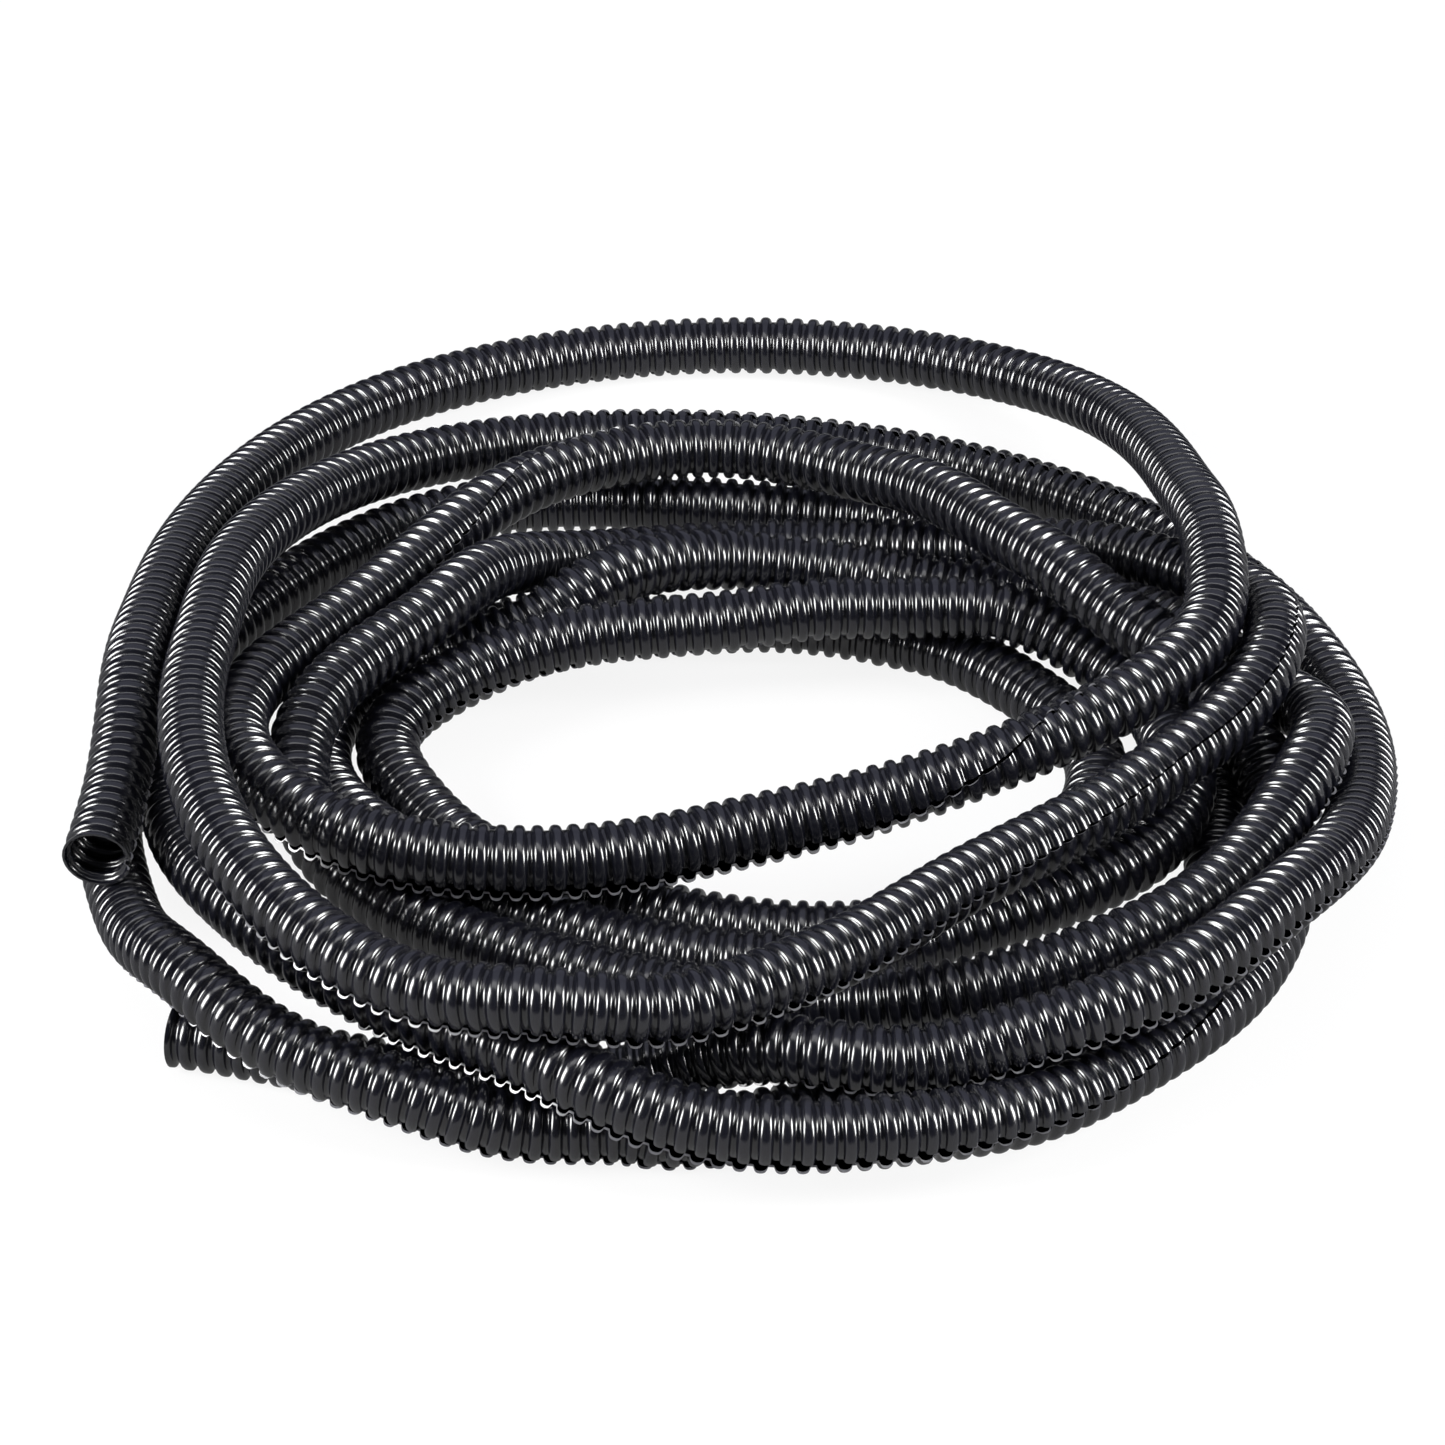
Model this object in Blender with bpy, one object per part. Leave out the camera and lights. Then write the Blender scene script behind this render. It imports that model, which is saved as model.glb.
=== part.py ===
"""A loose coil of black corrugated hose, about five metres long, lying on the floor.

One unbroken ribbed tube with an open bore and two bare, square-cut ends.  The coil lies on z = 0,
with +Y at its back and the origin under the middle of its box.  All sizes are in metres.
"""
import math

import bmesh
import bpy
import numpy as np

MM = 0.001

# Driving dimensions of the tube
HOSE_DIAMETER = 13.0 * MM    # over the rib crests
RIB_HEIGHT = 1.1 * MM        # from crest down to groove, outside
WALL = 0.4 * MM              # least wall, between the bore's corners and the tube's flats
SELF_GAP = 0.8 * MM          # clear space kept where the hose passes over or beside itself
FLOOR_FLAT = 1.3 * MM        # depth of the flat that the floor presses on the lowest strands
RIBS = 152                   # ribs shown along the whole hose
HOSE_SIDES = 8
BORE_SIDES = 6

# The route is read as a clock face laid on the floor, with twelve at the back.  The hose winds with the
# clock hands: each row is one turn, from eight o'clock round to seven, and the last row closes the spline.
# REACH is the distance from the clock's middle in millimetres.  LAYER is how many strands lie underneath.
REACH = (
    (144, 120, 140, 177, 182, 173, 110, 104, 70, 47, 45, 69),
    (105, 106, 84, 101, 114, 88, 72, 103, 127, 137, 144, 121),
    (125, 125, 124, 125, 100, 109, 99, 103, 113, 127, 114, 146),
    (146, 126, 100, 62, 54, 60, 69, 78, 75, 72, 59, 57),
    (68, 86, 60, 37, 34, 45, 78, 101, 98, 78, 75, 68),
    (79, 95, 75, 58, 65, 72, 92, 120, 123, 107, 88, 81),
    (94, 95, 66, 76, 84, 83, 111, 118, 89, 82, 124, 137),
    (125, 111, 122, 143, 134, 132, 132, 134, 130, 138, 114, 124),
    (159,),
)
LAYER = (
    (1.0, 2.4, 1.0, 0.0, 0.0, 0.2, 2.4, 2.6, 2.2, 1.4, 1.2, 1.2),
    (1.4, 1.4, 1.2, 1.4, 0.8, 1.4, 2.2, 0.6, 0.0, 0.6, 0.8, 1.0),
    (1.1, 0.7, 0.0, 0.0, 0.0, 0.0, 0.0, 0.0, 0.0, 0.0, 0.0, 0.8),
    (0.8, 0.4, 0.2, 0.0, 0.3, 0.0, 0.0, 0.0, 0.3, 0.0, 0.0, 0.0),
    (0.0, 0.4, 0.8, 1.0, 1.0, 1.2, 0.5, 0.8, 0.9, 0.4, 0.2, 0.0),
    (0.3, 0.4, 0.7, 1.0, 0.6, 0.4, 0.8, 1.2, 1.4, 0.8, 0.2, 0.2),
    (0.2, 1.2, 1.2, 0.6, 0.0, 0.6, 1.4, 2.2, 1.6, 1.8, 2.0, 2.0),
    (2.5, 2.4, 1.6, 0.2, 0.0, 0.0, 0.2, 0.0, 1.7, 1.5, 0.2, 0.0),
    (0.0,),
)
FIRST_HOUR = 8
HOURS_ROUND = 12
STARTS_PAST_FIRST = 0.16     # hours between the first station and the hose's upper end
ENDS_PAST_FIRST = 95.66      # hours from the first station to the hose's lower end

# How the route settles
POINTS_AN_HOUR = 64          # points read from the smooth curve before they are spaced evenly
ROUTE_STEP = 4.0 * MM        # spacing of the points that are pushed apart
OWN_DIAMETERS = 4            # points within this many diameters along the hose never push each other
SETTLE_ROUNDS = 400
SPREAD_LENGTH = 24.0 * MM    # one push is shared this far each way along the hose
SPREAD_GAIN = 2.0
SAMPLE_STEP = 1.5 * MM       # spacing of the points that measure the least gap
SEARCH_DIAMETERS = 2.0       # strands further apart than this are no part of that measure

# How the solid is made
BORE_OVERRUN = 2.0 * MM      # the bore's cutter passes the cut ends by this much
WELD = 0.00001
FLOOR_CUTTER = 0.8           # side of the block under the floor

BLACK_PLASTIC = (0.012, 0.012, 0.014, 1.0)
PLASTIC_ROUGHNESS = 0.3


def clear_scene():
    """Empty the scene."""
    for item in list(bpy.data.objects):
        bpy.data.objects.remove(item, do_unlink=True)


def add_collection(name):
    """A new collection in the scene."""
    collection = bpy.data.collections.new(name)
    bpy.context.scene.collection.children.link(collection)
    return collection


def station_points():
    """One control point for each hour of each turn, on the clock face."""
    reach = np.array([value for row in REACH for value in row]) * MM
    layer = np.array([value for row in LAYER for value in row])
    angle = 2.0 * math.pi * (FIRST_HOUR + np.arange(len(reach))) / HOURS_ROUND
    height = HOSE_DIAMETER * (layer + 0.5)
    return np.column_stack((reach * np.sin(angle), reach * np.cos(angle), height))


def smooth_curve(control, start, stop):
    """Points on the uniform cubic B-spline of the control points."""
    before = 2.0 * control[0] - control[1]
    after = 2.0 * control[-1] - control[-2]
    padded = np.vstack((before, control, after))
    place = np.linspace(start, stop, round((stop - start) * POINTS_AN_HOUR) + 1)
    index = np.minimum(place.astype(int), len(control) - 2)
    f = (place - index)[:, None]
    total = (1.0 - f) ** 3 * padded[index]
    total += (3.0 * f ** 3 - 6.0 * f ** 2 + 4.0) * padded[index + 1]
    total += (-3.0 * f ** 3 + 3.0 * f ** 2 + 3.0 * f + 1.0) * padded[index + 2]
    total += f ** 3 * padded[index + 3]
    return total / 6.0


def distance_along(points):
    """Distance of each point from the first, along the line."""
    steps = np.linalg.norm(np.diff(points, axis=0), axis=1)
    return np.concatenate(([0.0], np.cumsum(steps)))


def respace(points, count):
    """The same line with evenly spaced points."""
    along = distance_along(points)
    even = np.linspace(0.0, along[-1], count)
    return np.column_stack([np.interp(even, along, points[:, axis]) for axis in range(3)])


def close_pairs(points, reach, skip):
    """Pairs of points nearer than reach, and more than skip points apart along the line."""
    squares = (points ** 2).sum(axis=1)
    gaps = squares[:, None] + squares[None, :] - 2.0 * points @ points.T
    first, second = np.nonzero(np.triu(gaps < reach ** 2, skip + 1))
    return first, second


def spread(push):
    """Share each push with the points beside it, so that the hose bends and does not kink."""
    each_way = round(SPREAD_LENGTH / ROUTE_STEP)
    weights = np.hanning(2 * each_way + 3)[1:-1]
    weights *= SPREAD_GAIN / weights.sum()
    padded = np.pad(push, ((each_way, each_way), (0, 0)), mode="edge")
    columns = [np.convolve(padded[:, axis], weights, "valid") for axis in range(3)]
    return np.column_stack(columns)


def settle(points):
    """Push the strands apart until each clears the next, and keep them on the floor."""
    clearance = HOSE_DIAMETER + SELF_GAP
    skip = round(OWN_DIAMETERS * HOSE_DIAMETER / ROUTE_STEP)
    for _ in range(SETTLE_ROUNDS):
        first, second = close_pairs(points, clearance, skip)
        if len(first) == 0:
            break
        offset = points[first] - points[second]
        length = np.linalg.norm(offset, axis=1)
        move = offset * ((clearance - length) / length / 2.0)[:, None]
        push = np.zeros_like(points)
        share = np.ones(len(points))
        np.add.at(push, first, move)
        np.add.at(push, second, -move)
        np.add.at(share, np.concatenate((first, second)), 1.0)
        points = points + spread(push / np.maximum(share - 1.0, 1.0)[:, None])
        points[:, 2] = np.maximum(points[:, 2], HOSE_DIAMETER / 2.0)
    return points


def hose_route():
    """The settled centre line, centred on the origin and lying on the floor."""
    fine = smooth_curve(station_points(), STARTS_PAST_FIRST, ENDS_PAST_FIRST)
    count = round(distance_along(fine)[-1] / ROUTE_STEP) + 1
    line = settle(respace(fine, count))
    middle = (line.min(axis=0) + line.max(axis=0)) / 2.0
    line[:, :2] -= middle[:2]
    return line


def rib_radii(count):
    """Crest and groove radii by turns, a crest at both ends."""
    crest = HOSE_DIAMETER / 2.0
    return np.where(np.arange(count) % 2 == 0, crest, crest - RIB_HEIGHT)


def least_gap(points, radii):
    """Least clear space between the hose and itself, measured on points along its segments."""
    along = distance_along(points)
    count = round(along[-1] / SAMPLE_STEP) + 1
    samples = respace(points, count)
    radius = np.interp(np.linspace(0.0, along[-1], count), along, radii)
    skip = round(OWN_DIAMETERS * HOSE_DIAMETER / SAMPLE_STEP)
    first, second = close_pairs(samples, SEARCH_DIAMETERS * HOSE_DIAMETER, skip)
    distance = np.linalg.norm(samples[first] - samples[second], axis=1)
    return (distance - radius[first] - radius[second]).min()


def tube_mesh(name, points, radii, sides):
    """A closed faceted tube through the points, as a mesh object."""
    curve = bpy.data.curves.new(name + "_curve", "CURVE")
    curve.dimensions = "3D"
    curve.bevel_depth = 1.0
    curve.bevel_resolution = (sides - 4) // 2
    curve.use_fill_caps = True
    spline = curve.splines.new("POLY")
    spline.points.add(len(points) - 1)
    for spot, point, radius in zip(spline.points, points, radii):
        spot.co = (point[0], point[1], point[2], 1.0)
        spot.radius = radius
    guide = bpy.data.objects.new(name + "_guide", curve)
    bpy.context.scene.collection.objects.link(guide)
    evaluated = guide.evaluated_get(bpy.context.evaluated_depsgraph_get())
    mesh = bpy.data.meshes.new_from_object(evaluated)
    mesh.name = name
    tube = bpy.data.objects.new(name, mesh)
    tube.matrix_world = guide.matrix_world
    bpy.data.objects.remove(guide, do_unlink=True)
    work = bmesh.new()
    work.from_mesh(mesh)
    bmesh.ops.remove_doubles(work, verts=work.verts, dist=WELD)
    bmesh.ops.recalc_face_normals(work, faces=work.faces)
    work.to_mesh(mesh)
    work.free()
    return tube


def bore_points(points):
    """The centre line run out past both cut ends."""
    first = points[0] - points[1]
    last = points[-1] - points[-2]
    start = points[0] + first / np.linalg.norm(first) * BORE_OVERRUN
    stop = points[-1] + last / np.linalg.norm(last) * BORE_OVERRUN
    return np.vstack((start, points, stop))


def floor_block():
    """A block whose top is the floor."""
    mesh = bpy.data.meshes.new("floor_cutter")
    work = bmesh.new()
    bmesh.ops.create_cube(work, size=FLOOR_CUTTER)
    bmesh.ops.translate(work, verts=work.verts, vec=(0.0, 0.0, -FLOOR_CUTTER / 2.0))
    work.to_mesh(mesh)
    work.free()
    return bpy.data.objects.new("floor_cutter", mesh)


def as_cutter(item, collection):
    """Put a cutter in its collection and keep it out of the model."""
    item.hide_render = True
    item.display_type = "WIRE"
    collection.objects.link(item)
    return item


def cut(item, cutter):
    """Take the cutter's shape out of the item."""
    boolean = item.modifiers.new("cut_" + cutter.name, "BOOLEAN")
    boolean.operation = "DIFFERENCE"
    boolean.solver = "EXACT"
    boolean.object = cutter


def black_plastic():
    """Glossy black plastic."""
    material = bpy.data.materials.new("black_plastic")
    material.use_nodes = True
    shader = material.node_tree.nodes["Principled BSDF"]
    shader.inputs["Base Color"].default_value = BLACK_PLASTIC
    shader.inputs["Roughness"].default_value = PLASTIC_ROUGHNESS
    shader.inputs["Metallic"].default_value = 0.0
    return material


def build():
    """Make the coil."""
    clear_scene()
    parts = add_collection("corrugated_hose_coil")
    cutters = add_collection("cutters")

    route = hose_route()
    points = respace(route, 2 * RIBS + 1)
    radii = rib_radii(len(points))
    gap = least_gap(points, radii)
    points[:, 2] -= FLOOR_FLAT
    print("hose length %.0f mm" % (distance_along(route)[-1] / MM))
    print("least gap of the hose to itself %.2f mm" % (gap / MM))

    hose = tube_mesh("hose", points, radii, HOSE_SIDES)
    hose.data.materials.append(black_plastic())
    parts.objects.link(hose)

    flat_radius = (HOSE_DIAMETER / 2.0 - RIB_HEIGHT) * math.cos(math.pi / HOSE_SIDES)
    run_out = bore_points(points)
    bore = tube_mesh("bore_cutter", run_out, np.full(len(run_out), flat_radius - WALL), BORE_SIDES)
    cut(hose, as_cutter(bore, cutters))
    cut(hose, as_cutter(floor_block(), cutters))
    hose.data.shade_smooth()


build()
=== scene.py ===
# %% [markdown]
# # A loose coil of split corrugated hose
#
# The object is one length of slim black plastic hose, about five metres long, thrown down in eight loose
# turns. Many small things make its look: each rib has a rounded crest and two steep walls, a slit runs
# along the whole hose, and the slit wanders round the tube and gapes where the hose is bent or twisted.
#
# The lesson goes from the line to the finish. First comes the camera, then the centre line, then a
# Geometry Nodes tree that sweeps a slit ring along that line with one set of rows for each rib, and last
# the plastic and the studio. The CAD model gives the frame: everything is in metres, and the floor is at
# height 0.

# %% Load the shared frame
import math

import bpy
import numpy as np
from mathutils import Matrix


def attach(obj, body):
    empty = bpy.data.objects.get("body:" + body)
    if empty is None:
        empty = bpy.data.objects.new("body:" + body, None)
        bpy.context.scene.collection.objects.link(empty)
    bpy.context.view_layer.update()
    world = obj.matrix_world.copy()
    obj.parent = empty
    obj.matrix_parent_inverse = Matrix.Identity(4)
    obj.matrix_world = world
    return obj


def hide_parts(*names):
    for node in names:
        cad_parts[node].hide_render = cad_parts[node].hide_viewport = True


MM = 0.001
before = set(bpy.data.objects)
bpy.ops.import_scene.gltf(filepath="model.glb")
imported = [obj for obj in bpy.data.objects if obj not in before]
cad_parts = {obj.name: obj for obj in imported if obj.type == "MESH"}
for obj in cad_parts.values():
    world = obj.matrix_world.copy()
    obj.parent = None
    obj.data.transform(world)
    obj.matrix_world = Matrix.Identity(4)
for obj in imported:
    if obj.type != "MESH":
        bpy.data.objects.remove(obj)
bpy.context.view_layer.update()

# %% [markdown]
# ## The camera
#
# The photo looks down on the coil from the front with a long lens, so near and far strands are almost the
# same size. A camera is easiest to place by a point that it looks at, a height angle and a distance:
# Blender only needs the location and the rotation that follow from them.

# %% Camera at the photo's angle
CAMERA_TARGET = np.array((-4.08, 6.09, 0.0)) * MM
CAMERA_ELEVATION = math.radians(34.0)
CAMERA_DISTANCE = 1101.0 * MM
CAMERA_LENS = 130.55
CAMERA_SENSOR = 36.0

camera = bpy.data.objects.new("camera", bpy.data.cameras.new("camera"))
bpy.context.scene.collection.objects.link(camera)
camera.data.lens = CAMERA_LENS
camera.data.sensor_width = CAMERA_SENSOR
camera.location = (
    CAMERA_TARGET[0],
    CAMERA_TARGET[1] - CAMERA_DISTANCE * math.cos(CAMERA_ELEVATION),
    CAMERA_TARGET[2] + CAMERA_DISTANCE * math.sin(CAMERA_ELEVATION),
)
camera.rotation_euler = (math.pi / 2.0 - CAMERA_ELEVATION, 0.0, 0.0)
bpy.context.scene.camera = camera
print("camera stands at", [round(value, 3) for value in camera.location])

# %% [markdown]
# ## The line that the hose follows
#
# A coil like this can be drawn by hand, but then nobody can adjust it. Here it is read as a clock face on
# the floor, with twelve at the back. For each hour of each turn, one table says how far the hose lies from
# the middle and another says how many strands are underneath. Both tables were fitted to the photo and then
# rounded. A smooth spline runs through those stations, and then the strands are pushed apart until none lies
# in another, as the real ones do when they settle.

# %% Stations of the coil, one row for each turn
HOSE_DIAMETER = 13.0 * MM
SELF_GAP = 0.8 * MM
FIRST_HOUR = 8
HOURS_ROUND = 12
STARTS_PAST_FIRST = 0.16
ENDS_PAST_FIRST = 95.66
REACH = (
    (144, 120, 140, 177, 182, 173, 110, 104, 70, 47, 45, 69),
    (105, 106, 84, 101, 114, 88, 72, 103, 127, 137, 144, 121),
    (125, 125, 124, 125, 100, 109, 99, 103, 113, 127, 114, 146),
    (146, 126, 100, 62, 54, 60, 69, 78, 75, 72, 59, 57),
    (68, 86, 60, 37, 34, 45, 78, 101, 98, 78, 75, 68),
    (79, 95, 75, 58, 65, 72, 92, 120, 123, 107, 88, 81),
    (94, 95, 66, 76, 84, 83, 111, 118, 89, 82, 124, 137),
    (125, 111, 122, 143, 134, 132, 132, 134, 130, 138, 114, 124),
    (159,),
)
LAYER = (
    (1.0, 2.4, 1.0, 0.0, 0.0, 0.2, 2.4, 2.6, 2.2, 1.4, 1.2, 1.2),
    (1.4, 1.4, 1.2, 1.4, 0.8, 1.4, 2.2, 0.6, 0.0, 0.6, 0.8, 1.0),
    (1.1, 0.7, 0.0, 0.0, 0.0, 0.0, 0.0, 0.0, 0.0, 0.0, 0.0, 0.8),
    (0.8, 0.4, 0.2, 0.0, 0.3, 0.0, 0.0, 0.0, 0.3, 0.0, 0.0, 0.0),
    (0.0, 0.4, 0.8, 1.0, 1.0, 1.2, 0.5, 0.8, 0.9, 0.4, 0.2, 0.0),
    (0.3, 0.4, 0.7, 1.0, 0.6, 0.4, 0.8, 1.2, 1.4, 0.8, 0.2, 0.2),
    (0.2, 1.2, 1.2, 0.6, 0.0, 0.6, 1.4, 2.2, 1.6, 1.8, 2.0, 2.0),
    (2.5, 2.4, 1.6, 0.2, 0.0, 0.0, 0.2, 0.0, 1.7, 1.5, 0.2, 0.0),
    (0.0,),
)


def station_points():
    """One control point for each hour of each turn, on the clock face."""
    reach = np.array([value for row in REACH for value in row]) * MM
    layer = np.array([value for row in LAYER for value in row])
    angle = 2.0 * math.pi * (FIRST_HOUR + np.arange(len(reach))) / HOURS_ROUND
    height = HOSE_DIAMETER * (layer + 0.5)
    return np.column_stack((reach * np.sin(angle), reach * np.cos(angle), height))


stations = station_points()
print("stations:", len(stations))

# %% A smooth spline through the stations
POINTS_AN_HOUR = 64
ROUTE_STEP = 4.0 * MM


def smooth_curve(control, start, stop):
    """Points on the uniform cubic B-spline of the control points, and the hour of each."""
    before = 2.0 * control[0] - control[1]
    after = 2.0 * control[-1] - control[-2]
    padded = np.vstack((before, control, after))
    place = np.linspace(start, stop, round((stop - start) * POINTS_AN_HOUR) + 1)
    index = np.minimum(place.astype(int), len(control) - 2)
    f = (place - index)[:, None]
    total = (1.0 - f) ** 3 * padded[index]
    total += (3.0 * f ** 3 - 6.0 * f ** 2 + 4.0) * padded[index + 1]
    total += (-3.0 * f ** 3 + 3.0 * f ** 2 + 3.0 * f + 1.0) * padded[index + 2]
    total += f ** 3 * padded[index + 3]
    return total / 6.0, place


def distance_along(points):
    """Distance of each point from the first, along the line."""
    steps = np.linalg.norm(np.diff(points, axis=0), axis=1)
    return np.concatenate(([0.0], np.cumsum(steps)))


def respace(points, count):
    """The same line with evenly spaced points."""
    along = distance_along(points)
    even = np.linspace(0.0, along[-1], count)
    return np.column_stack([np.interp(even, along, points[:, axis]) for axis in range(3)])


drawn, drawn_hours = smooth_curve(stations, STARTS_PAST_FIRST, ENDS_PAST_FIRST)
route_count = round(distance_along(drawn)[-1] / ROUTE_STEP) + 1
drawn_along = distance_along(drawn)
route_hours = np.interp(np.linspace(0.0, drawn_along[-1], route_count), drawn_along, drawn_hours)
print("drawn length in mm:", round(drawn_along[-1] / MM))

# %% Let the strands settle on each other
OWN_DIAMETERS = 4
SETTLE_ROUNDS = 400
SPREAD_LENGTH = 24.0 * MM
SPREAD_GAIN = 2.0


def close_pairs(points, reach, skip):
    """Pairs of points nearer than reach, and more than skip points apart along the line."""
    squares = (points ** 2).sum(axis=1)
    gaps = squares[:, None] + squares[None, :] - 2.0 * points @ points.T
    first, second = np.nonzero(np.triu(gaps < reach ** 2, skip + 1))
    return first, second


def spread(push):
    """Share each push with the points beside it, so that the hose bends and does not kink."""
    each_way = round(SPREAD_LENGTH / ROUTE_STEP)
    weights = np.hanning(2 * each_way + 3)[1:-1]
    weights *= SPREAD_GAIN / weights.sum()
    padded = np.pad(push, ((each_way, each_way), (0, 0)), mode="edge")
    columns = [np.convolve(padded[:, axis], weights, "valid") for axis in range(3)]
    return np.column_stack(columns)


def settle(points):
    """Push the strands apart until each clears the next, and keep them on the floor."""
    clearance = HOSE_DIAMETER + SELF_GAP
    skip = round(OWN_DIAMETERS * HOSE_DIAMETER / ROUTE_STEP)
    for _ in range(SETTLE_ROUNDS):
        first, second = close_pairs(points, clearance, skip)
        if len(first) == 0:
            break
        offset = points[first] - points[second]
        length = np.linalg.norm(offset, axis=1)
        move = offset * ((clearance - length) / length / 2.0)[:, None]
        push = np.zeros_like(points)
        share = np.ones(len(points))
        np.add.at(push, first, move)
        np.add.at(push, second, -move)
        np.add.at(share, np.concatenate((first, second)), 1.0)
        points = points + spread(push / np.maximum(share - 1.0, 1.0)[:, None])
        points[:, 2] = np.maximum(points[:, 2], HOSE_DIAMETER / 2.0)
    return points


route = settle(respace(drawn, route_count))
route[:, :2] -= ((route.min(axis=0) + route.max(axis=0)) / 2.0)[:2]
route_along = distance_along(route)
print("settled length in mm:", round(route_along[-1] / MM))

# %% [markdown]
# ## Where the slit runs
#
# The real hose is cut open along its length so that cables can be pressed in. Where the tube is relaxed
# the cut is a hairline. Where it is bent with the cut outwards, the lips part and the lower lip is pushed
# out into a pale wavy edge. The table below follows the cut along the hose: the hour along the coil, the
# side that it faces, how far it gapes, and how far its lower lip is pushed out. A side of 0 faces the
# middle of the coil, 90 the floor, 180 outwards and -90 straight up, and the count goes on past a full
# turn.

# %% The slit, hour by hour
SLIT = (
    (0.0, 8, 1.5, 0.0),
    (1.5, 14, 0.9, 0.0),
    (2.6, 75, 0.4, 0.0),
    (5.0, 85, 0.4, 0.0),
    (6.6, 10, 0.4, 0.0),
    (7.6, -62, 0.5, 0.0),
    (8.0, -92, 0.6, 0.0),
    (8.25, -142, 0.8, 0.0),
    (8.7, -190, 1.0, 0.4),
    (9.2, -208, 1.6, 0.9),
    (9.8, -212, 1.9, 1.0),
    (10.4, -212, 2.1, 1.0),
    (11.0, -216, 2.3, 1.1),
    (11.6, -226, 2.4, 1.2),
    (12.2, -224, 1.8, 0.9),
    (12.8, -250, 0.8, 0.3),
    (13.4, -312, 0.4, 0.0),
    (14.0, -362, 0.4, 0.0),
    (14.5, -390, 0.4, 0.0),
    (15.0, -448, 0.4, 0.0),
    (16.0, -500, 0.3, 0.0),
    (18.0, -615, 0.3, 0.0),
    (20.0, -725, 0.5, 0.0),
    (20.3, -770, 1.0, 0.0),
    (20.5, -842, 0.6, 0.0),
    (21.0, -888, 0.5, 0.0),
    (21.5, -922, 1.4, 0.5),
    (22.0, -941, 2.3, 1.0),
    (22.4, -940, 2.3, 1.0),
    (22.8, -932, 2.0, 0.8),
    (23.3, -946, 1.6, 0.7),
    (24.0, -950, 1.2, 0.5),
    (26.0, -972, 0.4, 0.0),
    (32.0, -960, 0.6, 0.2),
    (34.5, -945, 1.0, 0.5),
    (36.4, -945, 1.0, 0.4),
    (38.0, -965, 0.3, 0.0),
    (44.0, -960, 0.8, 0.3),
    (47.0, -950, 1.2, 0.5),
    (48.3, -1010, 0.8, 0.0),
    (49.1, -1076, 1.2, 0.0),
    (49.8, -1068, 1.2, 0.0),
    (50.6, -1010, 0.6, 0.0),
    (56.0, -980, 0.6, 0.0),
    (66.0, -950, 0.8, 0.3),
    (67.5, -918, 1.1, 0.5),
    (68.3, -938, 1.2, 0.6),
    (69.5, -940, 1.2, 0.5),
    (72.0, -952, 0.6, 0.2),
    (76.5, -950, 0.3, 0.0),
    (79.0, -850, 0.3, 0.0),
    (79.8, -854, 0.3, 0.0),
    (80.4, -874, 0.3, 0.0),
    (81.1, -901, 0.5, 0.1),
    (81.7, -926, 1.1, 0.4),
    (82.4, -942, 1.6, 0.7),
    (83.2, -936, 1.5, 0.6),
    (84.0, -932, 1.0, 0.3),
    (85.5, -895, 0.4, 0.0),
    (87.0, -835, 0.4, 0.0),
    (88.7, -810, 0.8, 0.0),
    (89.3, -815, 0.6, 0.0),
    (90.8, -898, 0.8, 0.3),
    (92.0, -908, 1.2, 0.5),
    (93.0, -922, 1.2, 0.5),
    (94.5, -950, 0.8, 0.2),
    (96.0, -965, 0.6, 0.0),
)
slit_hours, slit_side, slit_gape, slit_flare = np.array(SLIT).T
route_roll = np.radians(np.interp(route_hours, slit_hours, slit_side))
route_gape = np.interp(route_hours, slit_hours, slit_gape) * MM
route_flare = np.interp(route_hours, slit_hours, slit_flare) * MM
print("widest gape in mm:", round(route_gape.max() / MM, 2))

# %% [markdown]
# ## The rail
#
# Geometry Nodes can read a line from a mesh that has only points and edges. Values stored on its points,
# here the slit's side, gape and lip, travel with it into the tree, so one rail carries all that the hose
# must know.

# %% The centre line as a mesh with values on its points
rail_mesh = bpy.data.meshes.new("hose_rail")
rail_mesh.from_pydata(route.tolist(), [(spot, spot + 1) for spot in range(len(route) - 1)], [])
for name, values in (("roll", route_roll), ("gape", route_gape), ("flare", route_flare)):
    layer = rail_mesh.attributes.new(name, "FLOAT", "POINT")
    layer.data.foreach_set("value", values.astype(np.float32))
print("rail points:", len(rail_mesh.vertices))

# %% [markdown]
# ## A tree that sweeps a slit ring along the rail
#
# The hose is one rule repeated some 1,370 times, which is what Geometry Nodes are for. A ring with a gap
# in it is swept along the rail, and its size steps through one rib's profile again and again. The helpers
# below add a node, link or set its sockets and hand back an output, so that the tree reads like a formula.

# %% Helpers that add nodes to the tree
hose_tree = bpy.data.node_groups.new("split_corrugated_hose", "GeometryNodeTree")


def add_node(kind, inputs=None, **settings):
    """A node with its settings made and its inputs linked or set."""
    node = hose_tree.nodes.new(kind)
    for key, value in settings.items():
        setattr(node, key, value)
    for key, value in (inputs or {}).items():
        if isinstance(value, bpy.types.NodeSocket):
            hose_tree.links.new(value, node.inputs[key])
        else:
            node.inputs[key].default_value = value
    return node


def calc(operation, first, second=0.0):
    """One step of arithmetic."""
    return add_node("ShaderNodeMath", {0: first, 1: second}, operation=operation).outputs[0]


def count_calc(operation, first, second):
    """One step of arithmetic in whole numbers."""
    return add_node("FunctionNodeIntegerMath", {0: first, 1: second}, operation=operation).outputs[0]


def vector_calc(operation, first, second):
    """One step of arithmetic with vectors."""
    return add_node("ShaderNodeVectorMath", {0: first, 1: second}, operation=operation).outputs[0]


def scaled(vector, factor):
    """A vector made longer or shorter."""
    return add_node("ShaderNodeVectorMath", {0: vector, "Scale": factor}, operation="SCALE").outputs[0]


def read(name, kind="FLOAT"):
    """A value stored earlier."""
    node = add_node("GeometryNodeInputNamedAttribute", {"Name": name}, data_type=kind)
    return node.outputs["Attribute"]


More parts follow.
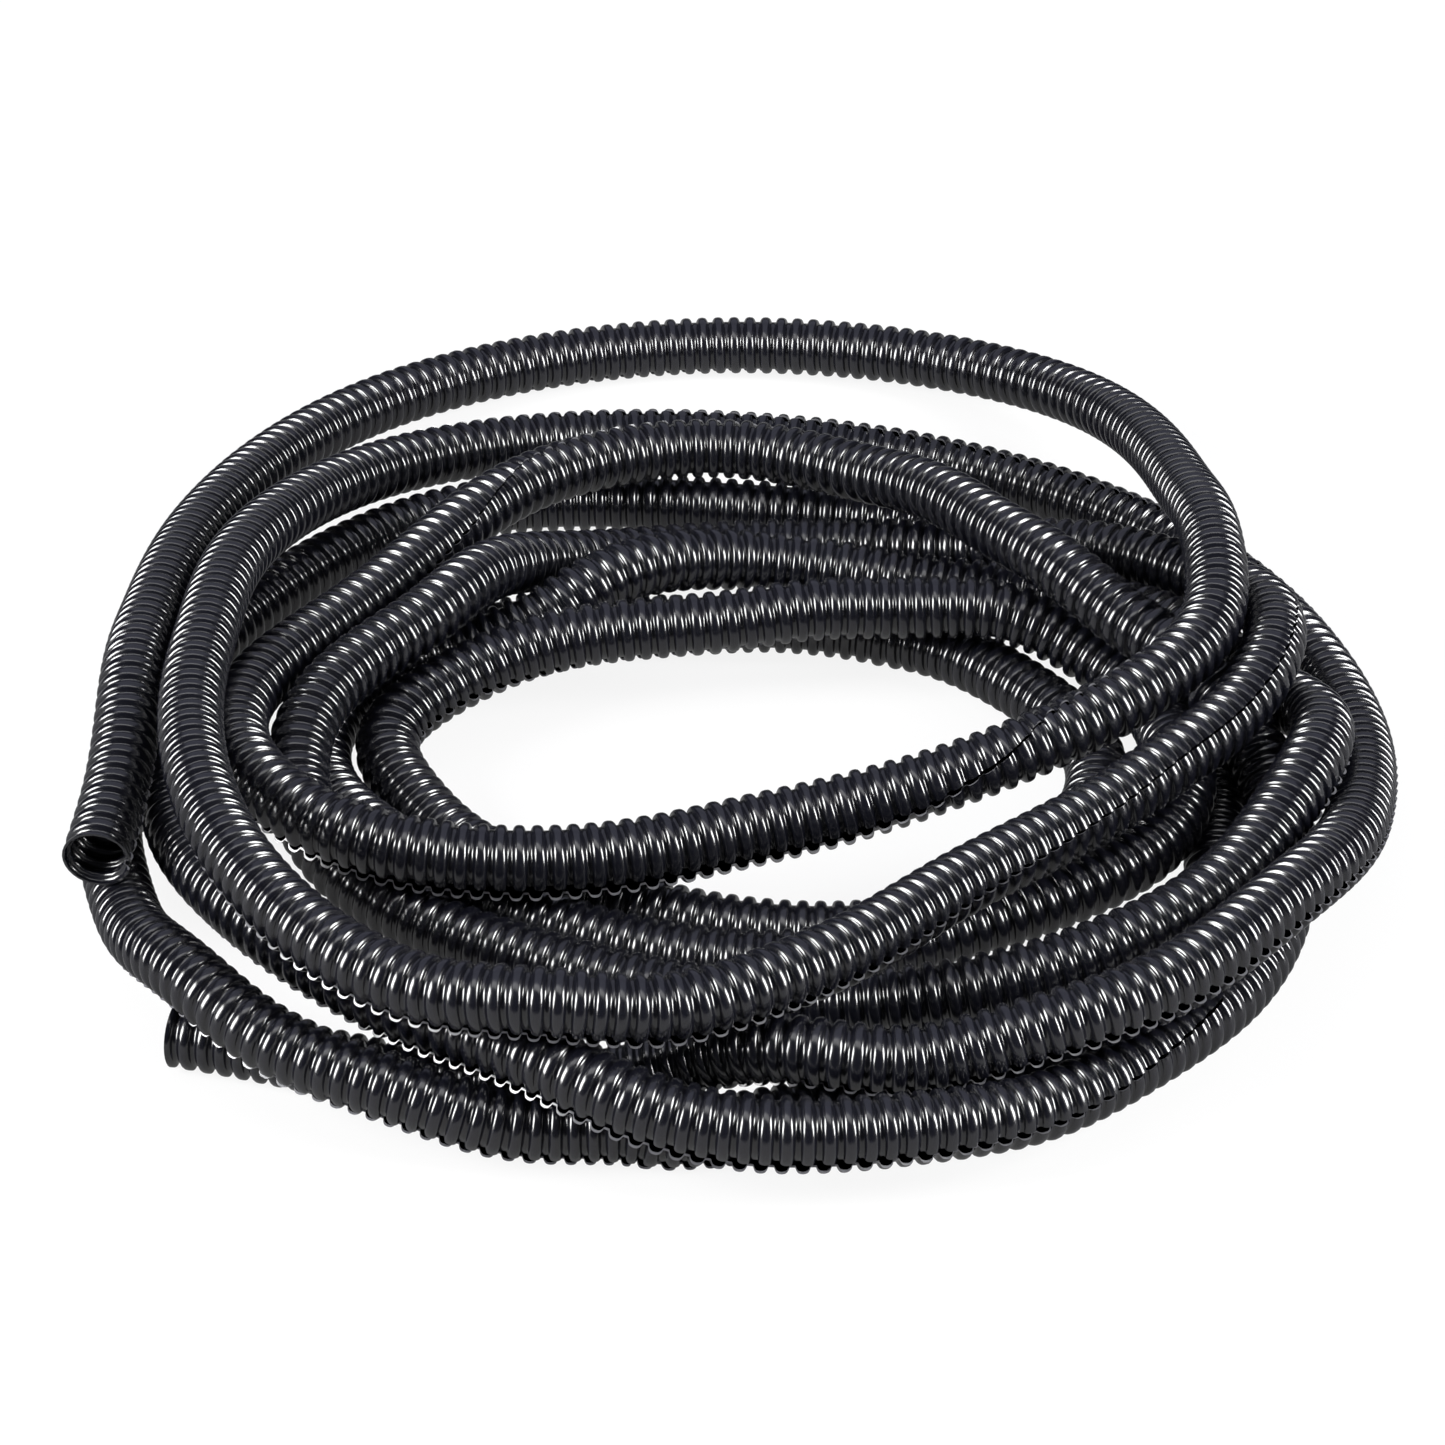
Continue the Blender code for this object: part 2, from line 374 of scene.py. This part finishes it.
def store(geometry, name, value, kind="FLOAT", domain="POINT"):
    """The geometry with a value stored on it."""
    settings = {"Geometry": geometry, "Name": name, "Value": value}
    node = add_node("GeometryNodeStoreNamedAttribute", settings, data_type=kind, domain=domain)
    return node.outputs["Geometry"]


print("tree:", hose_tree.name)

# %% Named inputs of the tree
INPUT_KINDS = (
    ("Rail", "NodeSocketGeometry"),
    ("Rib pitch", "NodeSocketFloat"),
    ("Crest radius", "NodeSocketFloat"),
    ("Rib height", "NodeSocketFloat"),
    ("Wall", "NodeSocketFloat"),
    ("Slip", "NodeSocketFloat"),
    ("First rib", "NodeSocketInt"),
    ("Ribs", "NodeSocketInt"),
    ("Plastic", "NodeSocketMaterial"),
)
input_ids = {}
for name, kind in INPUT_KINDS:
    socket = hose_tree.interface.new_socket(name=name, in_out="INPUT", socket_type=kind)
    input_ids[name] = socket.identifier
hose_tree.interface.new_socket(name="Hose", in_out="OUTPUT", socket_type="NodeSocketGeometry")
given = hose_tree.nodes.new("NodeGroupInput").outputs
print("tree inputs:", ", ".join(input_ids))

# %% [markdown]
# ## Rows of one rib
#
# Seen from the side, a rib is a low arch over seven tenths of the pitch, with rounded shoulders, steep
# walls and a flat groove beside it. Light draws it as a bar on the crest, a thin line on each shoulder and
# another in the groove. Eleven rows are enough for that if they are crowded on the shoulders and left wide
# in the groove. The count starts in the middle of a crest, because both ends of the hose are cut there.

# %% Place the rows along the rail
RIB_ROWS = (
    (0.000, 1.00),
    (0.130, 0.95),
    (0.215, 0.83),
    (0.275, 0.63),
    (0.320, 0.36),
    (0.360, 0.00),
    (0.640, 0.00),
    (0.680, 0.36),
    (0.725, 0.63),
    (0.785, 0.83),
    (0.870, 0.95),
)
RAIL_RESOLUTION = 6


def by_row(row, values):
    """The value that belongs to this row of the rib."""
    node = add_node("GeometryNodeIndexSwitch", {"Index": row}, data_type="FLOAT")
    while len(node.index_switch_items) < len(values):
        node.index_switch_items.new()
    for number, value in enumerate(values):
        node.inputs[number + 1].default_value = value
    return node.outputs[0]


def along_rail(rail, distance, value=None):
    """Sample the rail at a distance from its start."""
    inputs = {"Curves": rail, "Length": distance}
    if value is not None:
        inputs["Value"] = value
    return add_node("GeometryNodeSampleCurve", inputs, mode="LENGTH", data_type="FLOAT").outputs


rail = add_node("GeometryNodeMeshToCurve", {"Mesh": given["Rail"]}).outputs[0]
rail = add_node("GeometryNodeCurveSplineType", {"Curve": rail}, spline_type="CATMULL_ROM").outputs[0]
settings = {"Geometry": rail, "Resolution": RAIL_RESOLUTION}
rail = add_node("GeometryNodeSetSplineResolution", settings).outputs[0]

row_count = count_calc("ADD", count_calc("MULTIPLY", given["Ribs"], len(RIB_ROWS)), 1)
rows = add_node("GeometryNodeMeshLine", {"Count": row_count}, mode="OFFSET").outputs[0]
rows = add_node("GeometryNodeMeshToCurve", {"Mesh": rows}).outputs[0]

index = add_node("GeometryNodeInputIndex").outputs[0]
rib_number = count_calc("ADD", count_calc("DIVIDE_FLOOR", index, len(RIB_ROWS)), given["First rib"])
row_number = count_calc("MODULO", index, len(RIB_ROWS))
row_place = by_row(row_number, [place for place, height in RIB_ROWS])
row_height = by_row(row_number, [height for place, height in RIB_ROWS])
row_distance = calc("MULTIPLY", calc("ADD", rib_number, row_place), given["Rib pitch"])

spot = along_rail(rail, row_distance)["Position"]
rows = add_node("GeometryNodeSetPosition", {"Geometry": rows, "Position": spot}).outputs[0]
for name in ("gape", "flare"):
    rows = store(rows, name, along_rail(rail, row_distance, read(name))["Value"])
rows = store(rows, "along", calc("ADD", rib_number, row_place))
rows = store(rows, "rib", row_height)
print("rows in one rib:", len(RIB_ROWS))

# %% Turn the rows so that the slit faces its side
roll = along_rail(rail, row_distance, read("roll"))["Value"]
rows = add_node("GeometryNodeSetCurveNormal", {"Curve": rows}, mode="Z_UP").outputs[0]
rows = add_node("GeometryNodeSetCurveTilt", {"Curve": rows, "Tilt": roll}).outputs[0]
rows = store(rows, "centre", add_node("GeometryNodeInputPosition").outputs[0], "FLOAT_VECTOR")
rows = store(rows, "axis", add_node("GeometryNodeInputTangent").outputs[0], "FLOAT_VECTOR")
print("values on each row: gape, flare, along, rib, centre, axis")

# %% [markdown]
# ## The slit ring
#
# The ring is drawn once, one unit in radius: out along the outer skin from one lip to the other, then back
# along the inner skin. Because both skins are scaled by the same row, the bore is corrugated like the
# outside, as it is in the real thin wall. Each point keeps its angle from the ring's back, which is what
# the next step needs to open the slit.

# %% Draw the ring
OUTER_POINTS = 32
INNER_POINTS = 16
SLIT_ANGLE = 0.03

ring = add_node("GeometryNodeMeshLine", {"Count": OUTER_POINTS + INNER_POINTS}, mode="OFFSET").outputs[0]
ring = add_node("GeometryNodeMeshToCurve", {"Mesh": ring}).outputs[0]
ring = add_node("GeometryNodeSetSplineCyclic", {"Geometry": ring, "Cyclic": True}).outputs[0]

is_inner = calc("GREATER_THAN", index, OUTER_POINTS - 0.5)
outer_share = calc("DIVIDE", index, OUTER_POINTS - 1.0)
inner_share = calc("DIVIDE", calc("SUBTRACT", OUTER_POINTS + INNER_POINTS - 1.0, index), INNER_POINTS - 1.0)
skin = add_node("GeometryNodeSwitch", input_type="FLOAT")
for socket, value in zip(skin.inputs, (is_inner, outer_share, inner_share)):
    hose_tree.links.new(value, socket)
turn = calc("MULTIPLY", calc("SUBTRACT", skin.outputs[0], 0.5), 2.0 * math.pi - SLIT_ANGLE)
wall_share = calc("DIVIDE", given["Wall"], given["Crest radius"])
skin_radius = calc("SUBTRACT", 1.0, calc("MULTIPLY", is_inner, wall_share))
ring_x = calc("MULTIPLY", calc("COSINE", turn), calc("MULTIPLY", skin_radius, -1.0))
ring_y = calc("MULTIPLY", calc("SINE", turn), calc("MULTIPLY", skin_radius, -1.0))
ring_spot = add_node("ShaderNodeCombineXYZ", {"X": ring_x, "Y": ring_y}).outputs[0]
ring = store(ring, "turn", turn)
ring = add_node("GeometryNodeSetPosition", {"Geometry": ring, "Position": ring_spot}).outputs[0]
print("points on the ring:", OUTER_POINTS + INNER_POINTS)

# %% [markdown]
# ## Sweep the ring and open the slit
#
# Curve to Mesh joins the rows into one closed wall. Then each point is turned a little round the hose's
# own line, most at the lips and not at all at the back, which opens the slit as bending a real tube does.
# One lip is also pushed outwards, and the ring is slipped along the hose so that the ribs don't meet
# exactly at the slit. Last, whatever would sink into the floor is pressed flat on it.

# %% Sweep, gape, lip and slip
FAR = 10.0  # only the height has a floor, so the other two limits lie out of reach

groove_depth = calc("MULTIPLY", given["Rib height"], calc("SUBTRACT", 1.0, read("rib")))
gape_growth = calc("DIVIDE", read("gape"), 2.0 * math.pi)
row_radius = calc("ADD", calc("SUBTRACT", given["Crest radius"], groove_depth), gape_growth)
hose = add_node(
    "GeometryNodeCurveToMesh",
    {"Curve": rows, "Profile Curve": ring, "Scale": row_radius, "Fill Caps": True},
).outputs[0]

turn_on_hose = read("turn")
lip_angle = calc("DIVIDE", read("gape"), calc("MULTIPLY", given["Crest radius"], 2.0))
open_angle = calc("MULTIPLY", calc("DIVIDE", turn_on_hose, -math.pi), lip_angle)
centre = read("centre", "FLOAT_VECTOR")
axis = read("axis", "FLOAT_VECTOR")
opened = add_node(
    "ShaderNodeVectorRotate",
    {
        "Vector": add_node("GeometryNodeInputPosition").outputs[0],
        "Center": centre,
        "Axis": axis,
        "Angle": open_angle,
    },
    rotation_type="AXIS_ANGLE",
).outputs[0]
lip_share = add_node(
    "ShaderNodeMapRange",
    {"Value": turn_on_hose, "From Min": 0.5 * math.pi, "From Max": math.pi},
    interpolation_type="SMOOTHSTEP",
).outputs["Result"]
lip_lift = calc("MULTIPLY", lip_share, calc("DIVIDE", read("flare"), given["Crest radius"]))
outward = scaled(vector_calc("SUBTRACT", opened, centre), lip_lift)
slip = calc("MULTIPLY", calc("DIVIDE", turn_on_hose, 2.0 * math.pi), given["Slip"])
shaped = vector_calc("ADD", vector_calc("ADD", opened, outward), scaled(axis, slip))
above_floor = vector_calc("MAXIMUM", shaped, (-FAR, -FAR, 0.0))
hose = add_node("GeometryNodeSetPosition", {"Geometry": hose, "Position": above_floor}).outputs[0]
print("the ring is swept")

# %% [markdown]
# ## Crisp cut edges
#
# A knife leaves sharp edges, while the moulded wall is smooth. So all faces are shaded smooth, but the
# edges of the two lips and the flat ends stay crisp. The lips' faces are also marked as cut, so that the
# plastic can be paler there. It is greyer as bare plastic, and brighter as a painted highlight on the thin
# lips.
# A UV map runs round and along the hose, and values that only the tree needed are removed.

# %% Crisp edges, the mark on the lips and a UV map
ANGLE_MARGIN = 0.001
MOST_WALL_CORNERS = 4.5  # a face of the wall has four corners, and the flat end of the hose has many

lip_angle_least = math.pi - 0.5 * SLIT_ANGLE - ANGLE_MARGIN
is_lip = calc("GREATER_THAN", calc("ABSOLUTE", turn_on_hose), lip_angle_least)
corners = add_node("GeometryNodeInputMeshFaceNeighbors").outputs["Vertex Count"]
is_end = calc("GREATER_THAN", corners, MOST_WALL_CORNERS)
hose = add_node("GeometryNodeSetShadeSmooth", {"Geometry": hose, "Shade Smooth": True}).outputs[0]
for domain, chosen in (("EDGE", is_lip), ("FACE", is_end)):
    settings = {"Geometry": hose, "Selection": chosen, "Shade Smooth": False}
    hose = add_node("GeometryNodeSetShadeSmooth", settings, domain=domain).outputs[0]
# the lips are marked for their paler colour, partly bare plastic and partly a painted highlight
hose = store(hose, "cut", is_lip, domain="FACE")
round_share = calc("ADD", calc("DIVIDE", turn_on_hose, 2.0 * math.pi), 0.5)
uv = add_node("ShaderNodeCombineXYZ", {"X": round_share, "Y": read("along")}).outputs[0]
hose = store(hose, "UVMap", uv, "FLOAT2", "CORNER")
for name in ("centre", "axis", "gape", "flare", "turn", "along", "rib"):
    hose = add_node("GeometryNodeRemoveAttribute", {"Geometry": hose, "Name": name}).outputs[0]
hose = add_node("GeometryNodeRealizeInstances", {"Geometry": hose}).outputs[0]
hose = add_node("GeometryNodeSetMaterial", {"Geometry": hose, "Material": given["Plastic"]}).outputs[0]
hose_tree.links.new(hose, hose_tree.nodes.new("NodeGroupOutput").inputs[0])
print("nodes in the tree:", len(hose_tree.nodes))

# %% [markdown]
# ## Glossy black plastic
#
# The hose is moulded in black plastic. It is nearly black, with a clean gloss that shows the lamps as bars
# with soft ends. A perfectly even gloss looks false, so a fine noise varies the roughness, and a very
# small bump breaks the highlights as the mould's own texture does. The cut lips show the bare plastic,
# which is greyer, and their paler colour also paints in the highlight that the thin lips catch. So the
# mark that the tree left on them mixes in a second colour.

# %% Black plastic
BLACK = (0.0035, 0.0037, 0.0065, 1.0)
# paler lip colour: the greyer bare plastic of the cut plus a painted highlight where the thin lips catch
# light
LIP_GREY_AND_HIGHLIGHT = (0.12, 0.12, 0.13, 1.0)
HAZE_SCALE = 160.0
HAZE_DETAIL = 3.0
LEAST_ROUGHNESS = 0.16
MOST_ROUGHNESS = 0.27
GRAIN_SCALE = 1400.0
GRAIN_DETAIL = 2.0
GRAIN_STRENGTH = 0.02
GRAIN_DEPTH = 0.2 * MM

black_plastic = bpy.data.materials.new("black_plastic")
black_plastic.use_nodes = True
plastic_nodes = black_plastic.node_tree.nodes
plastic_links = black_plastic.node_tree.links
plastic = plastic_nodes["Principled BSDF"]
plastic.inputs["Metallic"].default_value = 0.0
plastic.inputs["Specular IOR Level"].default_value = 1.0
coordinates = plastic_nodes.new("ShaderNodeTexCoord")


def noise(scale, detail):
    """A noise that stays fixed in the plastic."""
    node = plastic_nodes.new("ShaderNodeTexNoise")
    node.inputs["Scale"].default_value = scale
    node.inputs["Detail"].default_value = detail
    plastic_links.new(coordinates.outputs["Object"], node.inputs["Vector"])
    return node.outputs["Fac"]


haze_range = plastic_nodes.new("ShaderNodeMapRange")
haze_range.inputs["To Min"].default_value = LEAST_ROUGHNESS
haze_range.inputs["To Max"].default_value = MOST_ROUGHNESS
plastic_links.new(noise(HAZE_SCALE, HAZE_DETAIL), haze_range.inputs["Value"])
plastic_links.new(haze_range.outputs["Result"], plastic.inputs["Roughness"])

bump = plastic_nodes.new("ShaderNodeBump")
bump.inputs["Strength"].default_value = GRAIN_STRENGTH
bump.inputs["Distance"].default_value = GRAIN_DEPTH
plastic_links.new(noise(GRAIN_SCALE, GRAIN_DETAIL), bump.inputs["Height"])
plastic_links.new(bump.outputs["Normal"], plastic.inputs["Normal"])

# the marked lips mix in the paler colour, which is bare plastic plus a painted highlight
cut_face = plastic_nodes.new("ShaderNodeAttribute")
cut_face.attribute_name = "cut"
tint = plastic_nodes.new("ShaderNodeMixRGB")
tint.inputs["Color1"].default_value = BLACK
tint.inputs["Color2"].default_value = LIP_GREY_AND_HIGHLIGHT
plastic_links.new(cut_face.outputs["Fac"], tint.inputs["Fac"])
plastic_links.new(tint.outputs["Color"], plastic.inputs["Base Color"])
print("material:", black_plastic.name)

# %% [markdown]
# ## The hose in stretches
#
# One mesh with all the ribs would be too heavy to edit, so the same tree makes the hose in nine stretches.
# Each starts on the crest where the last one ended, so the joins can't be seen. The real hose is one
# piece, and all stretches ride on the same body.

# %% Make the stretches
STRETCHES = 9
RIB_PITCH = 3.65 * MM
RIB_HEIGHT = 1.1 * MM
WALL = 0.4 * MM
SLIP = 0.8 * MM

rib_total = int(route_along[-1] / RIB_PITCH)
rib_pitch = route_along[-1] / (rib_total + 1)
breaks = [round(rib_total * number / STRETCHES) for number in range(STRETCHES + 1)]


def hose_stretch(number, first, last):
    """One stretch of the hose as a plain mesh object."""
    guide = bpy.data.objects.new("hose_guide", rail_mesh)
    bpy.context.scene.collection.objects.link(guide)
    sweep = guide.modifiers.new("split_corrugated_hose", "NODES")
    sweep.node_group = hose_tree
    sizes = {
        "Rib pitch": rib_pitch,
        "Crest radius": HOSE_DIAMETER / 2.0,
        "Rib height": RIB_HEIGHT,
        "Wall": WALL,
        "Slip": SLIP,
        "First rib": first,
        "Ribs": last - first,
        "Plastic": black_plastic,
    }
    for name, value in sizes.items():
        sweep[input_ids[name]] = value
    evaluated = guide.evaluated_get(bpy.context.evaluated_depsgraph_get())
    mesh = bpy.data.meshes.new_from_object(evaluated)
    bpy.data.objects.remove(guide, do_unlink=True)
    mesh.name = "hose_stretch_%d" % number
    piece = bpy.data.objects.new(mesh.name, mesh)
    bpy.context.scene.collection.objects.link(piece)
    return piece


stretches = []
for number in range(STRETCHES):
    piece = hose_stretch(number + 1, breaks[number], breaks[number + 1])
    piece.data.calc_loop_triangles()
    stretches.append(piece)
    print(piece.name, "triangles:", len(piece.data.loop_triangles))

# %% [markdown]
# ## Put the stretches in place of the CAD hose
#
# The CAD model's plain ribbed solid is hidden, and every stretch is attached to the root body. Together
# they stand for that solid.


for number, piece in enumerate(stretches):
    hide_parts("hose")
    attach(piece, "root")
print("stretches declared:", len(stretches))

# %% [markdown]
# ## The studio
#
# The coil lies on a white surface that fades into white surroundings. Light strong enough to turn a real
# floor white would also wash out the black plastic. So the floor glows by itself where the camera sees it,
# and keeps a part of its plain white so that the coil's shadow still falls on it. In the plastic's gloss
# the floor is dimmer, or every rib would have a white belly.

# %% Floor
FLOOR_HALF = 12.0
FLOOR_WHITE = (0.92, 0.92, 0.92, 1.0)
FLOOR_GLOW = 0.88
MIRRORED_GLOW = 0.27

floor_mesh = bpy.data.meshes.new("floor")
floor_corners = [(x * FLOOR_HALF, y * FLOOR_HALF, 0.0) for x, y in ((-1, -1), (1, -1), (1, 1), (-1, 1))]
floor_mesh.from_pydata(floor_corners, [], [(0, 1, 2, 3)])
floor = bpy.data.objects.new("floor", floor_mesh)
bpy.context.scene.collection.objects.link(floor)
print("floor side in m:", 2.0 * FLOOR_HALF)

# %% Floor that glows white to the camera and dimmer in the gloss
floor_white = bpy.data.materials.new("floor_white")
floor_white.use_nodes = True
floor_nodes = floor_white.node_tree.nodes
floor_links = floor_white.node_tree.links
floor_nodes.clear()
plain_white = floor_nodes.new("ShaderNodeBsdfDiffuse")
plain_white.inputs["Color"].default_value = FLOOR_WHITE
glow = floor_nodes.new("ShaderNodeEmission")
rays = floor_nodes.new("ShaderNodeLightPath")
dimmed = floor_nodes.new("ShaderNodeMapRange")
dimmed.inputs["To Min"].default_value = 1.0
dimmed.inputs["To Max"].default_value = MIRRORED_GLOW
seen = floor_nodes.new("ShaderNodeMath")
seen.operation = "MAXIMUM"
seen_through = floor_nodes.new("ShaderNodeMath")
seen_through.operation = "MAXIMUM"
glow_share = floor_nodes.new("ShaderNodeMath")
glow_share.operation = "MULTIPLY"
glow_share.inputs[1].default_value = FLOOR_GLOW
floor_mix = floor_nodes.new("ShaderNodeMixShader")
floor_out = floor_nodes.new("ShaderNodeOutputMaterial")
floor_links.new(rays.outputs["Is Glossy Ray"], dimmed.inputs["Value"])
floor_links.new(dimmed.outputs["Result"], glow.inputs["Strength"])
floor_links.new(rays.outputs["Is Camera Ray"], seen.inputs[0])
floor_links.new(rays.outputs["Is Glossy Ray"], seen.inputs[1])
floor_links.new(seen.outputs[0], seen_through.inputs[0])
floor_links.new(rays.outputs["Is Transmission Ray"], seen_through.inputs[1])
floor_links.new(seen_through.outputs[0], glow_share.inputs[0])
floor_links.new(glow_share.outputs[0], floor_mix.inputs[0])
floor_links.new(plain_white.outputs[0], floor_mix.inputs[1])
floor_links.new(glow.outputs[0], floor_mix.inputs[2])
floor_links.new(floor_mix.outputs[0], floor_out.inputs["Surface"])
floor_mesh.materials.append(floor_white)
print("floor material:", floor_white.name)

# %% [markdown]
# ## Lamps
#
# Two large soft lamps stand in front, one to the left and one to the right, and a weaker one hangs above:
# they draw the bright bars on the ribs. Two weak bluish panels, behind and above, fill what faces away
# from the lamps, as a pale room does. The rest of the world is nearly dark, which keeps the grooves black.

# %% World
SURROUND_BLUE = (0.80, 0.82, 1.0, 1.0)
SURROUND_STRENGTH = 0.035

world = bpy.data.worlds.new("dim_studio")
bpy.context.scene.world = world
world.use_nodes = True
surround = world.node_tree.nodes["Background"]
surround.inputs["Color"].default_value = SURROUND_BLUE
surround.inputs["Strength"].default_value = SURROUND_STRENGTH
print("world:", world.name)

# %% Soft lamps and panels


def soft_lamp(name, place, size, power, colour):
    """A flat lamp that faces the coil."""
    lamp_data = bpy.data.lights.new(name, "AREA")
    lamp_data.shape = "RECTANGLE"
    lamp_data.size = size[0]
    lamp_data.size_y = size[1]
    lamp_data.energy = power
    lamp_data.color = colour
    lamp = bpy.data.objects.new(name, lamp_data)
    lamp.location = place
    lamp.rotation_euler = (-lamp.location).to_track_quat("-Z", "Y").to_euler()
    lamp.visible_camera = False
    bpy.context.scene.collection.objects.link(lamp)
    return lamp


LAMP_WHITE = (1.0, 1.0, 1.0)
PANEL_BLUE = (0.78, 0.80, 1.0)
LAMPS = (
    ("lamp_left", (-1.20, -0.45, 0.62), (0.62, 0.90), 36.0, LAMP_WHITE),
    ("lamp_right", (1.20, -0.40, 0.62), (0.45, 0.95), 33.0, LAMP_WHITE),
    ("lamp_above", (-0.10, -0.35, 1.50), (1.60, 0.55), 5.0, LAMP_WHITE),
    ("panel_back", (0.0, 1.8, 1.25), (2.4, 1.6), 4.0, PANEL_BLUE),
    ("panel_above", (0.0, 0.5, 2.0), (2.4, 1.6), 5.0, PANEL_BLUE),
)
for name, place, size, power, colour in LAMPS:
    soft_lamp(name, place, size, power, colour)
print("lamps:", len(LAMPS))

# %% [markdown]
# ## Finish
#
# The scene shows its colours through the Standard view transform.

# %% Standard view transform
bpy.context.scene.view_settings.view_transform = "Standard"
